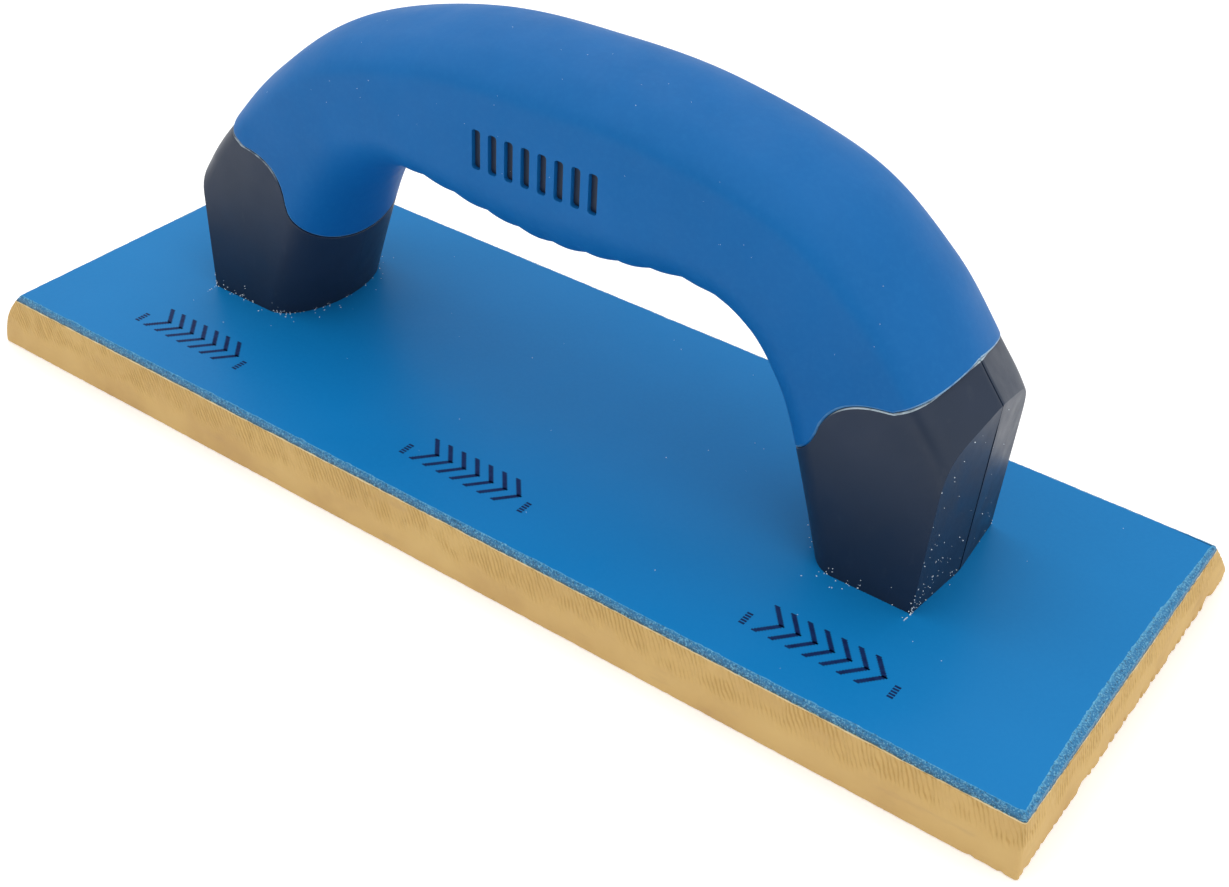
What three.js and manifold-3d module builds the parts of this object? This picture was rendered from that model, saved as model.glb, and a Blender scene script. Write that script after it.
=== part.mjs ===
// Grout float: a rubber-faced hand float with an arched two-part handle.
// Millimetres, +Z up. The origin is the centre of the rubber working face, which lies on Z = 0.
// +X runs along the float. -Y is the long side whose edges are ground square.
import * as THREE from "three";
import { mergeVertices } from "three/addons/utils/BufferGeometryUtils.js";
import Module from "manifold-3d";

// ---- Driving dimensions -------------------------------------------------------------------
const PAD_LENGTH = 250;          // working face
const PAD_WIDTH = 98;
const PAD_THICKNESS = 12.7;
const GLUE_THICKNESS = 0.3;
const PLATE_THICKNESS = 2;
const LEFT_BEVEL = 8.1;          // how far each side of the float leans out from plate to face
const RIGHT_BEVEL = 1.2;
const FAR_BEVEL = 13.5;
const LEFT_BULGE = 0.22;         // crowning of the long bevels, as a share of their run
const FAR_BULGE = 0.03;
const DEPTH = PAD_THICKNESS + GLUE_THICKNESS + PLATE_THICKNESS;

const HANDLE_Y = -2.3;           // the handle stands over the middle of the working face
const HALF_WIDTH = 16.3;
const CROWN_AT_FEET = 4.4;       // ridge above the shoulder creases
const CROWN_AT_MIDDLE = 6;
const CROWN_BLEND_X = 48;        // where the crown has come down to its height at the feet
const GRIP_INNER_ROUNDING = 13;  // depth of the rounded side that faces the fingers
const FOOT_INNER_ROUNDING = 9;
const ROUNDING_BLEND_X = [36, 58];
const FOOT_END_X = 88.6;         // seam of the foot's outer end, at the plate
const END_LEAN = 0.04;           // outward lean of that end, per mm of height
const END_PROW = 1.4;            // how much the end's corners stand back from the seam
const GRIP_THICKNESS = 2.5;
const CORE_WALL = 3;
const GAP = 0.3;                 // clearance between moulded neighbours
const OPENING_MARGIN = 1;        // between a foot's open bottom and its hollow

const SCREW_X = 74.5;
const SCREW_OFFSET_Y = 8;
const SCREW_RADIUS = 2;
const SCREW_ROOT_RADIUS = 1.45;
const SCREW_PITCH = 1.6;
const SCREW_THREAD_TURNS = 6;
const SCREW_TIP_LENGTH = 2.9;
const SCREW_HEAD_HEIGHT = 2;
const SCREW_HEAD_PROFILE = [[0, 0], [2.2, 0], [3.6, 0.7], [4, 1.6], [4, SCREW_HEAD_HEIGHT]];
const RECESS_LENGTH = 4;
const RECESS_WIDTH = 0.9;
const RECESS_DEPTH = 1;
const SCREW_HOLE_RADIUS = SCREW_RADIUS + GAP;
const HEAD_POCKET_RADIUS = 4.5;
const HEAD_POCKET_DEPTH = 2.3;   // below the top of the rubber
const BOSS_RADIUS = 4.6;
const BOSS_HEIGHT = 20;
const BOSS_ROOF = 2;             // left solid above each screw hole

const POST_RADIUS = 3.4;
const PEG_RADIUS = 1.6;
const PEG_LENGTH = 5;
const ALIGNMENT_POSTS = [[-70, 48], [0, 73], [70, 48]];    // x and z

const SLOT_COUNT = 8;
const SLOT_WIDTH = 2;
const SLOT_PITCH = 3.8;
const SLOT_HEIGHT = 8;
const SLOT_CENTRE_X = 1.1;
const SLOT_CENTRE_Z = 73;
const SLOT_DEPTH = 1;            // from the grip's side down to the core's bars in the slots
const BAR_CLEARANCE = 0.1;

// The arch in the plane of its length, from the right foot over to the left one: where the side
// that faces the fingers runs, and where the outer ridge runs, a little fuller at the right
// shoulder. The feet's ends trim the ridge.
const ARCH = [
  { inner: [62, DEPTH], ridge: [98.5, DEPTH] },
  { inner: [57.6, 29], ridge: [98, 33] },
  { inner: [53.2, 41.2], ridge: [93.7, 47] },
  { inner: [49, 48.4], ridge: [86.2, 57.5] },
  { inner: [42, 54.8], ridge: [74.5, 71.4] },
  { inner: [31, 57.8], ridge: [56, 84.5] },
  { inner: [15, 55], ridge: [27.3, 91.8] },
  { inner: [0, 53.4], ridge: [0, 93] },
  { inner: [-15, 55], ridge: [-27, 90.7] },
  { inner: [-31, 57.8], ridge: [-54, 82.2] },
  { inner: [-42, 54.8], ridge: [-71.5, 69.7] },
  { inner: [-49, 48.4], ridge: [-83.3, 56.8] },
  { inner: [-53.2, 41.2], ridge: [-91, 46.6] },
  { inner: [-57.6, 29], ridge: [-98, 33] },
  { inner: [-62, DEPTH], ridge: [-98.5, DEPTH] },
];

// The soft grip's lower edge over the right-hand foot, as x and z: down from the ridge, round
// the scallop (a Bezier curve from the last of these points) and on through the throat.
const EDGE_FROM_RIDGE = [[95, 70.5], [85.1, 60.2], [82.2, 57.1], [77.3, 53.9]];
const EDGE_SCALLOP = [[72, 53.4], [64.6, 51.5], [63.5, 42.5]];
const EDGE_THROAT = [[62, 40.2], [56, 33.8]];
const THROAT_END = [40, 29];

const STATIONS_PER_SPAN = 3;
const ARC_STEPS = 5;
const PAD_STEPS = 6;
const SCALLOP_STEPS = 8;
const POST_SIDES = 24;
const SCREW_SIDES = 12;
const ABOVE_ALL = 120;           // a height above the whole handle
const BEYOND_ALL = 60;           // a distance past the handle's sides
const CUT_OVERLAP = 1;           // how far a cutting body passes the surface it cuts

const wasm = await Module();
wasm.setup();

// ---- Solids -------------------------------------------------------------------------------

// A closed three.js geometry as a solid that can be joined and cut.
function solid(geometry) {
  const bare = geometry.clone();
  bare.deleteAttribute("normal");
  bare.deleteAttribute("uv");
  const merged = mergeVertices(bare, 1e-4);
  const vertProperties = new Float32Array(merged.attributes.position.array);
  const triVerts = new Uint32Array(merged.index.array);
  return new wasm.Manifold(new wasm.Mesh({ numProp: 3, vertProperties, triVerts }));
}

function geometryOf(manifold) {
  const cut = manifold.getMesh();
  const geometry = new THREE.BufferGeometry();
  geometry.setAttribute("position", new THREE.BufferAttribute(cut.vertProperties, 3));
  geometry.setIndex(new THREE.BufferAttribute(cut.triVerts, 1));
  geometry.computeVertexNormals();
  return geometry;
}

// A closed body through a row of rings, each a list of as many points.
function loft(rings) {
  const size = rings[0].length;
  const points = rings.flat();
  const index = [];
  for (let ring = 0; ring + 1 < rings.length; ring += 1) {
    for (let i = 0; i < size; i += 1) {
      const a = ring * size + i;
      const b = ring * size + ((i + 1) % size);
      index.push(a, b, b + size, a, b + size, a + size);
    }
  }
  const last = points.length - size;
  for (let i = 1; i + 1 < size; i += 1) {
    index.push(0, i + 1, i, last, last + i, last + i + 1);
  }
  const geometry = new THREE.BufferGeometry().setFromPoints(points);
  geometry.setIndex(index);
  return geometry;
}

// A cylinder along Z that stands on the given height.
function post(radius, height, x, y, z) {
  const geometry = new THREE.CylinderGeometry(radius, radius, height, POST_SIDES);
  geometry.rotateX(Math.PI / 2);
  geometry.translate(x, y, z + height / 2);
  return solid(geometry);
}

// A cylinder along Y, given the middle of its length.
function crossPost(radius, length, x, y, z) {
  const geometry = new THREE.CylinderGeometry(radius, radius, length, POST_SIDES);
  geometry.translate(x, y, z);
  return solid(geometry);
}

// A box of the given sizes round a centre.
function box(sizes, centre) {
  const geometry = new THREE.BoxGeometry(...sizes);
  geometry.translate(...centre);
  return solid(geometry);
}

function joined(bodies) {
  return bodies.reduce((all, body) => all.add(body));
}

// The screws' places on the plate, as x and y.
function screwPlaces() {
  return [-SCREW_X, SCREW_X].flatMap((x) => [-1, 1].map((side) => [x, HANDLE_Y + side * SCREW_OFFSET_Y]));
}

// ---- The float's flat layers ----------------------------------------------------------------

// How far a bevelled side stands back at a height, for a bevel of the given run.
function setback(run, bulge, z) {
  const down = 1 - z / DEPTH;
  return run * (1 - down - bulge * Math.sin(Math.PI * down));
}

function layerOutline(z) {
  const left = -PAD_LENGTH / 2 + setback(LEFT_BEVEL, LEFT_BULGE, z);
  const right = PAD_LENGTH / 2 - setback(RIGHT_BEVEL, 0, z);
  const far = PAD_WIDTH / 2 - setback(FAR_BEVEL, FAR_BULGE, z);
  const near = -PAD_WIDTH / 2;
  return [
    new THREE.Vector3(left, near, z),
    new THREE.Vector3(right, near, z),
    new THREE.Vector3(right, far, z),
    new THREE.Vector3(left, far, z),
  ];
}

function layer(bottom, top, steps) {
  const rings = [];
  for (let i = 0; i <= steps; i += 1) {
    rings.push(layerOutline(bottom + ((top - bottom) * i) / steps));
  }
  return solid(loft(rings));
}

// A body with a hole for each screw, from one height up to another.
function drilled(body, radius, bottom, top) {
  const holes = screwPlaces().map(([x, y]) => post(radius, top - bottom, x, y, bottom));
  return body.subtract(joined(holes));
}

function rubberPad() {
  const body = layer(0, PAD_THICKNESS, PAD_STEPS);
  return drilled(body, HEAD_POCKET_RADIUS, PAD_THICKNESS - HEAD_POCKET_DEPTH, PAD_THICKNESS + CUT_OVERLAP);
}

function glueLayer() {
  const top = PAD_THICKNESS + GLUE_THICKNESS;
  const body = layer(PAD_THICKNESS, top, 1);
  return drilled(body, HEAD_POCKET_RADIUS, PAD_THICKNESS - CUT_OVERLAP, top + CUT_OVERLAP);
}

function backingPlate() {
  const bottom = DEPTH - PLATE_THICKNESS;
  const body = layer(bottom, DEPTH, 1);
  return drilled(body, SCREW_HOLE_RADIUS, bottom - CUT_OVERLAP, DEPTH + CUT_OVERLAP);
}

// ---- The handle's shape -----------------------------------------------------------------------

// The arch's stations as a curve, for the inner side or the ridge.
function archCurve(key) {
  return new THREE.SplineCurve(ARCH.map((station) => new THREE.Vector2(...station[key])));
}

// Half of a section, from the middle of the inner side to the ridge, as pairs of the share of
// the way across the arch and the distance from the middle plane.
function halfSection(span, halfWidth, rounding, crown) {
  const pairs = [];
  for (let i = 0; i <= ARC_STEPS; i += 1) {
    const angle = (Math.PI / 2) * (i / ARC_STEPS);
    const depth = rounding * (1 - Math.cos(angle));
    pairs.push([depth / span, halfWidth * Math.sin(angle)]);
  }
  const crownRadius = (halfWidth ** 2 + crown ** 2) / (2 * crown);
  for (let i = 0; i <= ARC_STEPS; i += 1) {
    const side = halfWidth * (1 - i / ARC_STEPS);
    const drop = crownRadius - Math.sqrt(crownRadius ** 2 - side ** 2);
    pairs.push([1 - drop / span, side]);
  }
  return pairs;
}

// One closed ring of the handle, set in from the outer surface.
function handleRing(inner, ridge, inset) {
  const { lerp, smoothstep } = THREE.MathUtils;
  const fromMiddle = Math.abs(inner.x);
  const crown = lerp(CROWN_AT_MIDDLE, CROWN_AT_FEET, Math.min(fromMiddle / CROWN_BLEND_X, 1));
  const inFoot = smoothstep(fromMiddle, ...ROUNDING_BLEND_X);
  const rounding = lerp(GRIP_INNER_ROUNDING, FOOT_INNER_ROUNDING, inFoot);
  const across = ridge.clone().sub(inner).normalize();
  const from = inner.clone().addScaledVector(across, inset);
  const to = ridge.clone().addScaledVector(across, -inset);
  const half = halfSection(from.distanceTo(to), HALF_WIDTH - inset, rounding, crown);
  const place = ([share, side]) => {
    const p = from.clone().lerp(to, share);
    return new THREE.Vector3(p.x, HANDLE_Y + side, p.y);
  };
  const back = half.map(place);
  const front = half.slice(1, -1).map(([share, side]) => place([share, -side]));
  return [...back.reverse(), ...front];
}

// The block that trims the feet: its ends lean out and come to a low prow at the seam.
function footEnds(inset) {
  const rings = [DEPTH, ABOVE_ALL].map((z) => {
    const seam = FOOT_END_X + END_LEAN * (z - DEPTH) - inset;
    const corner = seam - (END_PROW * BEYOND_ALL) / HALF_WIDTH;
    return [
      new THREE.Vector3(-corner, HANDLE_Y - BEYOND_ALL, z),
      new THREE.Vector3(corner, HANDLE_Y - BEYOND_ALL, z),
      new THREE.Vector3(seam, HANDLE_Y, z),
      new THREE.Vector3(corner, HANDLE_Y + BEYOND_ALL, z),
      new THREE.Vector3(-corner, HANDLE_Y + BEYOND_ALL, z),
      new THREE.Vector3(-seam, HANDLE_Y, z),
    ];
  });
  return solid(loft(rings));
}

// The whole handle as one body, inset by the given amount everywhere but at the plate.
function handleBody(inset) {
  const inner = archCurve("inner");
  const ridge = archCurve("ridge");
  const steps = (ARCH.length - 1) * STATIONS_PER_SPAN;
  const rings = [];
  for (let i = 0; i <= steps; i += 1) {
    rings.push(handleRing(inner.getPoint(i / steps), ridge.getPoint(i / steps), inset));
  }
  return solid(loft(rings)).intersect(footEnds(inset));
}

// The soft grip's reach: a prism over the arch whose lower ends scallop down to the feet. The
// gap moves its edge away from the grip, to trim the core.
function gripReach(gap) {
  const place = ([x, z]) => new THREE.Vector2(x + gap, z - gap);
  const scallop = new THREE.CubicBezierCurve(...[EDGE_FROM_RIDGE.at(-1), ...EDGE_SCALLOP].map(place));
  const right = [
    ...EDGE_FROM_RIDGE.slice(0, -1).map(place),
    ...scallop.getPoints(SCALLOP_STEPS),
    ...EDGE_THROAT.map(place),
    new THREE.Vector2(...THROAT_END),
  ];
  const left = right.map((p) => new THREE.Vector2(-p.x, p.y)).reverse();
  const above = [new THREE.Vector2(-BEYOND_ALL, ABOVE_ALL), new THREE.Vector2(BEYOND_ALL, ABOVE_ALL)];
  const shape = new THREE.Shape([...right, ...left, ...above]);
  const geometry = new THREE.ExtrudeGeometry(shape, { depth: 2 * BEYOND_ALL, bevelEnabled: false });
  geometry.rotateX(Math.PI / 2);
  geometry.translate(0, HANDLE_Y + BEYOND_ALL, 0);
  return solid(geometry);
}

// ---- The handle's pieces ------------------------------------------------------------------------

// Upright bars side by side at the front of the grip, less a clearance all round, between two
// distances from the middle plane.
function frontBars(clearance, near, far) {
  const sizes = [SLOT_WIDTH - 2 * clearance, far - near, SLOT_HEIGHT - 2 * clearance];
  const bars = [];
  for (let i = 0; i < SLOT_COUNT; i += 1) {
    const x = SLOT_CENTRE_X + (i - (SLOT_COUNT - 1) / 2) * SLOT_PITCH;
    bars.push(box(sizes, [x, HANDLE_Y - (near + far) / 2, SLOT_CENTRE_Z]));
  }
  return joined(bars);
}

function softGrip() {
  const bed = handleBody(GRIP_THICKNESS - GAP);
  const slots = frontBars(0, HALF_WIDTH / 2, HALF_WIDTH + CUT_OVERLAP);
  return handleBody(0).intersect(gripReach(0)).subtract(bed).subtract(slots);
}

// The feet are open towards the plate.
function footOpenings() {
  const inset = GRIP_THICKNESS + CORE_WALL;
  const outerX = FOOT_END_X - inset - END_PROW;
  const innerX = ARCH[0].inner[0] + inset + FOOT_INNER_ROUNDING / 2 - END_PROW;
  const width = 2 * (HALF_WIDTH - inset - OPENING_MARGIN);
  const sizes = [outerX - innerX, width, 2 * CORE_WALL];
  const openings = [-1, 1].map((foot) => box(sizes, [(foot * (outerX + innerX)) / 2, HANDLE_Y, DEPTH]));
  return joined(openings);
}

// The hard core as one body: full size at the feet, thinner under the grip, hollow inside, with
// a boss for each screw, alignment posts across the middle plane and bars in the grip's slots.
function coreBody() {
  const feet = handleBody(0).subtract(gripReach(GAP));
  const hollow = handleBody(GRIP_THICKNESS + CORE_WALL).add(footOpenings());
  const walls = feet.add(handleBody(GRIP_THICKNESS)).subtract(hollow);
  const bosses = screwPlaces().map(([x, y]) => post(BOSS_RADIUS, BOSS_HEIGHT, x, y, DEPTH));
  const posts = ALIGNMENT_POSTS.map(([x, z]) => crossPost(POST_RADIUS, 2 * HALF_WIDTH, x, HANDLE_Y, z));
  const envelope = handleBody(GRIP_THICKNESS + CORE_WALL / 2);
  const bed = HALF_WIDTH - GRIP_THICKNESS;
  const bars = frontBars(BAR_CLEARANCE, bed - CUT_OVERLAP, HALF_WIDTH - SLOT_DEPTH);
  const body = walls.add(joined([...bosses, ...posts]).intersect(envelope)).add(bars);
  return drilled(body, SCREW_HOLE_RADIUS, DEPTH - CUT_OVERLAP, DEPTH + BOSS_HEIGHT - BOSS_ROOF);
}

// The pegs that hold the core's halves in line: they stand on the rear half and enter the front.
function pegs(radius, length) {
  const inward = -PEG_LENGTH / 2 + CUT_OVERLAP;
  return joined(ALIGNMENT_POSTS.map(([x, z]) => crossPost(radius, length, x, HANDLE_Y + inward, z)));
}

// One side of the core, split at the middle plane.
function coreShell(body, side) {
  const sizes = [4 * BEYOND_ALL, BEYOND_ALL, ABOVE_ALL];
  const half = box(sizes, [0, HANDLE_Y + (side * (BEYOND_ALL + GAP)) / 2, ABOVE_ALL / 2]);
  const shell = body.intersect(half);
  if (side > 0) {
    return shell.add(pegs(PEG_RADIUS, PEG_LENGTH + 2 * CUT_OVERLAP));
  }
  return shell.subtract(pegs(PEG_RADIUS + GAP, PEG_LENGTH + 4 * CUT_OVERLAP));
}

// ---- Screws ---------------------------------------------------------------------------------------

// A thread-forming screw with a low head and a cross recess, standing on its head.
function screw(x, y) {
  const headBottom = DEPTH - PLATE_THICKNESS - SCREW_HEAD_HEIGHT;
  const profile = [...SCREW_HEAD_PROFILE, [SCREW_ROOT_RADIUS, SCREW_HEAD_HEIGHT]];
  let height = SCREW_HEAD_HEIGHT + PLATE_THICKNESS;
  for (let turn = 0; turn < SCREW_THREAD_TURNS; turn += 1) {
    profile.push([SCREW_ROOT_RADIUS, height]);
    profile.push([SCREW_RADIUS, height + SCREW_PITCH / 2]);
    height += SCREW_PITCH;
  }
  profile.push([SCREW_ROOT_RADIUS, height]);
  profile.push([0, height + SCREW_TIP_LENGTH]);
  const outline = profile.map(([radius, z]) => new THREE.Vector2(radius, z));
  const geometry = new THREE.LatheGeometry(outline, SCREW_SIDES);
  geometry.rotateX(Math.PI / 2);
  geometry.translate(x, y, headBottom);
  const centre = [x, y, headBottom];
  const along = box([RECESS_LENGTH, RECESS_WIDTH, 2 * RECESS_DEPTH], centre);
  const across = box([RECESS_WIDTH, RECESS_LENGTH, 2 * RECESS_DEPTH], centre);
  return solid(geometry).subtract(along.add(across));
}

// ---- The assembly -----------------------------------------------------------------------------------

const group = new THREE.Group();

function addPart(name, body, finish) {
  const mesh = new THREE.Mesh(geometryOf(body), new THREE.MeshStandardMaterial(finish));
  mesh.name = name;
  group.add(mesh);
}

const RUBBER = { color: 0xdfb467, roughness: 0.9, metalness: 0 };
const GLUE = { color: 0xd8cda6, roughness: 0.6, metalness: 0 };
const LAMINATE = { color: 0x1a72ba, roughness: 0.35, metalness: 0 };
const SOFT_BLUE = { color: 0x1f66b0, roughness: 0.55, metalness: 0 };
const HARD_NAVY = { color: 0x262d40, roughness: 0.4, metalness: 0 };
const STEEL = { color: 0xc4c7ca, roughness: 0.3, metalness: 1 };

addPart("rubber_pad", rubberPad(), RUBBER);
addPart("adhesive_layer", glueLayer(), GLUE);
addPart("backing_plate", backingPlate(), LAMINATE);

const core = coreBody();
addPart("core_shell_front", coreShell(core, -1), HARD_NAVY);
addPart("core_shell_rear", coreShell(core, 1), HARD_NAVY);
addPart("soft_grip", softGrip(), SOFT_BLUE);

screwPlaces().forEach(([x, y], index) => {
  addPart(`handle_screw_${index + 1}`, screw(x, y), STEEL);
});

export default group;
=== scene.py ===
"""Grout float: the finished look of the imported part, built round its frame.

Shapes are worked out in millimetres in the row frame: the origin is the centre of the rubber
working face, +X runs along the float and +Z points up through the handle.
"""
import math
import random

import bmesh
import bpy
import numpy as np
from mathutils import Matrix, Vector, noise


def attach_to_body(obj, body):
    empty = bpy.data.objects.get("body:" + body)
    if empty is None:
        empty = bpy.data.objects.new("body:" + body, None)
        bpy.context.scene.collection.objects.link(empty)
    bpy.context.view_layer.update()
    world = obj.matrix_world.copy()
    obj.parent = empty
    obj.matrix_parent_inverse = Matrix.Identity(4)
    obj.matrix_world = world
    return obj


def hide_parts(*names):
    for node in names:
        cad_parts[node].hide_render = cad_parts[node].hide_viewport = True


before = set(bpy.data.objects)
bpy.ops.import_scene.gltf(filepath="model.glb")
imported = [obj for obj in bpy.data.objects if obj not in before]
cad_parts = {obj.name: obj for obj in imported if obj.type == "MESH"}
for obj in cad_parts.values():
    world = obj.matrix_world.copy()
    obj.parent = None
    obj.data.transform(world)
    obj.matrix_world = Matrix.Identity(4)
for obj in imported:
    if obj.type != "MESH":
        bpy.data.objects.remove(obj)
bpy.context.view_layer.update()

MM = 0.001

# ---- The float's flat layers, as in the CAD part -------------------------------------------------
PAD_LENGTH = 250
PAD_WIDTH = 98
PAD_TOP = 12.7
PLATE_BOTTOM = 13
DEPTH = 15
LEFT_BEVEL = 8.1
RIGHT_BEVEL = 1.2
FAR_BEVEL = 13.5
LEFT_BULGE = 0.22
FAR_BULGE = 0.03
CORNER_RADIUS = 0.7

# ---- The handle, as in the CAD part --------------------------------------------------------------
HANDLE_Y = -2.3
HALF_WIDTH = 16.3
CROWN_AT_FEET = 4.4
CROWN_AT_MIDDLE = 6
CROWN_BLEND_X = 48
GRIP_INNER_ROUNDING = 13
FOOT_INNER_ROUNDING = 9
ROUNDING_BLEND_X = (36, 58)
FOOT_END_X = 88.6
END_LEAN = 0.04
END_PROW = 1.4
GRIP_THICKNESS = 2.5
GAP = 0.3
# Inner and ridge points of the arch, from the right foot's base over to the left one's. The
# finger opening is symmetric; the right shoulder stands out a little further than the left.
ARCH = [
    ((62, 15), (98.5, 15)),
    ((57.6, 29), (98, 33)),
    ((53.2, 41.2), (93.7, 47)),
    ((49, 48.4), (86.2, 57.5)),
    ((42, 54.8), (74.5, 71.4)),
    ((31, 57.8), (56, 84.5)),
    ((15, 55), (27.3, 91.8)),
    ((0, 53.4), (0, 93)),
    ((-15, 55), (-27, 90.7)),
    ((-31, 57.8), (-54, 82.2)),
    ((-42, 54.8), (-71.5, 69.7)),
    ((-49, 48.4), (-83.3, 56.8)),
    ((-53.2, 41.2), (-91, 46.6)),
    ((-57.6, 29), (-98, 33)),
    ((-62, 15), (-98.5, 15)),
]
SLOT_COUNT = 8
SLOT_WIDTH = 2
SLOT_PITCH = 3.8
SLOT_HEIGHT = 8
SLOT_CENTRE_X = 1.1
SLOT_CENTRE_Z = 73
SLOT_DEPTH = 1
SLOT_CORNER = 0.6
BAR_CLEARANCE = 0.03
BAR_SUNK = 1                 # how deep the bars are rooted in the core

# ---- Finer shape than the CAD part has -----------------------------------------------------------
SHOULDER_ON_CROWN = 6        # softening of the crease between the flat side and the crown
SHOULDER_ON_SIDE = 3.3
GRIP_ROOF = 0.4              # how far the grip's crown takes the feet's roof shape, at its ends
FEET_BEGIN = 30              # where along X the grip's crown starts to do so
FEET_FULL = 52
GRIP_RIDGE_SOFTNESS = 4
FOOT_RIDGE_SOFTNESS = 0.3
SEAM_ROUNDING = 0.5          # at the split between the core's two halves
SEAM_GAP = 0.75
CROWN_SEAM_GAP = 0.16        # the same split over the foot's crown
SEAM_NARROWS = (47, 51)      # heights between which it closes up
CLOSED_SEAM = 0.01           # the same split on the finger side, where it is shut tight
LIP_RADIUS = 0.5             # edge of the soft grip
FOOT_LIP_RADIUS = 0.25       # edge of the core that meets it
LIP_GAP = 0.04
LIP_DEGREES = (0, 22, 45, 68, 90)
LIP_BANDS = len(LIP_DEGREES) - 1
GRIP_LIP_HIGHLIGHT = (54, 61)        # heights between which a pale painted highlight sets in on the moulded edges
CORE_LIP_HIGHLIGHT = (48, 52)
RIB_PITCH = 7.5              # finger ribs under the grip
RIB_HEIGHT = 0.55
RIB_CENTRE = 1.7
RIB_REACH = 41
RIBBED_INSET = 0.01          # only what lies less deep than this has ribs
EDGE_BEVEL = 0.3             # rounding of the core's edges
SOFT_EDGE_DEGREES = 32       # that turn by more than this
STANDING = 0.01              # an edge this close to the plate stands on it and stays sharp
FRAY_BOTTOM = 14.5           # where the plate's frayed top corner begins
MARGIN_WIDTH = 1.5           # sanded margin along the plate's right end
MARGIN_MIDDLE = -8
MARGIN_REACH = 46
WELD = 0.01                  # points closer than this become one
FINE_STEP = 0.5              # spacing of points round the rubber and the plate
COARSE_STEP = 1.2            # and round the adhesive
GRIP_ROWS = 300              # rows of points along the handle's pieces
GRIP_BED_ROWS = 70
FOOT_ROWS = 44
CORE_BED_ROWS = 90
SMOOTH_DEGREES = 35          # sharper edges than this are shaded sharp
CORE_SMOOTH_DEGREES = 25


# ---- Meshes --------------------------------------------------------------------------------------


def grid_quads(rows, columns, close_rows):
    """Faces of a grid of points whose columns close into rings, row by row."""
    faces = []
    for row in range(rows if close_rows else rows - 1):
        here = row * columns
        there = ((row + 1) % rows) * columns
        for column in range(columns):
            beside = (column + 1) % columns
            faces.append((here + column, here + beside, there + beside, there + column))
    return faces


def body_from_grid(points, close_rows):
    """A closed bmesh from an array of rows of rings, in millimetres. Open ends get caps."""
    rows, columns = points.shape[:2]
    body = bmesh.new()
    verts = [body.verts.new(p) for p in (points.reshape(-1, 3) * MM).tolist()]
    for face in grid_quads(rows, columns, close_rows):
        body.faces.new([verts[i] for i in face])
    if not close_rows:
        body.faces.new(verts[:columns])
        body.faces.new(verts[-columns:])
    return body


def finish_piece(name, body, materials, smooth_degrees=SMOOTH_DEGREES):
    """Turns a bmesh into a named piece that rides on the frame, with sharp edges round its caps."""
    bmesh.ops.recalc_face_normals(body, faces=body.faces)
    for face in body.faces:
        face.smooth = True
    mesh = bpy.data.meshes.new(name)
    body.to_mesh(mesh)
    body.free()
    mesh.set_sharp_from_angle(angle=math.radians(smooth_degrees))
    for cap in mesh.polygons:
        if cap.loop_total > 4:
            for corner in cap.loop_indices:
                mesh.edges[mesh.loops[corner].edge_index].use_edge_sharp = True
    for made in materials:
        mesh.materials.append(made)
    piece = bpy.data.objects.new(name, mesh)
    bpy.context.scene.collection.objects.link(piece)
    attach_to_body(piece, "root")
    return piece


def mark_soft_edges(body, degrees):
    """Marks a piece's sharp edges for rounding, all but those that stand on the plate."""
    weights = body.edges.layers.float.new("bevel_weight_edge")
    for edge in body.edges:
        standing = all(vert.co.z < (DEPTH + STANDING) * MM for vert in edge.verts)
        sharp = edge.is_manifold and edge.calc_face_angle() > math.radians(degrees)
        if sharp and not standing:
            edge[weights] = 1


def soften_edges(piece, width):
    """Rounds a piece's marked edges with two narrow bevel segments."""
    bevel = piece.modifiers.new("soft_edges", "BEVEL")
    bevel.width = width * MM
    bevel.segments = 2
    bevel.limit_method = "WEIGHT"
    bevel.harden_normals = True


def smoothstep(low, high, value):
    share = np.clip((value - low) / (high - low), 0, 1)
    return share * share * (3 - 2 * share)


def lerp(a, b, share):
    return a + (b - a) * share


# ---- The handle's surface ------------------------------------------------------------------------


INNER_LINE = np.array([inner for inner, ridge in ARCH], float)
RIDGE_LINE = np.array([ridge for inner, ridge in ARCH], float)


def spline(points, share):
    """Points on a uniform Catmull-Rom curve, at shares of its length in spans."""
    position = np.clip(share, 0, 1) * (len(points) - 1)
    start = np.minimum(position.astype(int), len(points) - 2)
    t = (position - start)[..., None]
    before = points[np.maximum(start - 1, 0)]
    a = points[start]
    b = points[start + 1]
    after = points[np.minimum(start + 2, len(points) - 1)]
    leave = (b - before) / 2
    arrive = (after - a) / 2
    cubic = (2 * a - 2 * b + leave + arrive) * t**3
    square = (3 * b - 3 * a - 2 * leave - arrive) * t**2
    return cubic + square + leave * t + a


def crown_point(share, span, half, crown, roof, softness):
    """Depth and half width on the crown, from the shoulder at 0 to the ridge at 1."""
    side = half * (1 - share)
    radius = (half**2 + crown**2) / (2 * crown)
    arc = span - (radius - np.sqrt(radius**2 - side**2))
    fall = np.sqrt(side**2 + softness**2) - softness
    straight = span - crown * fall / (np.hypot(half, softness) - softness)
    return lerp(arc, straight, roof), side


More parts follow.
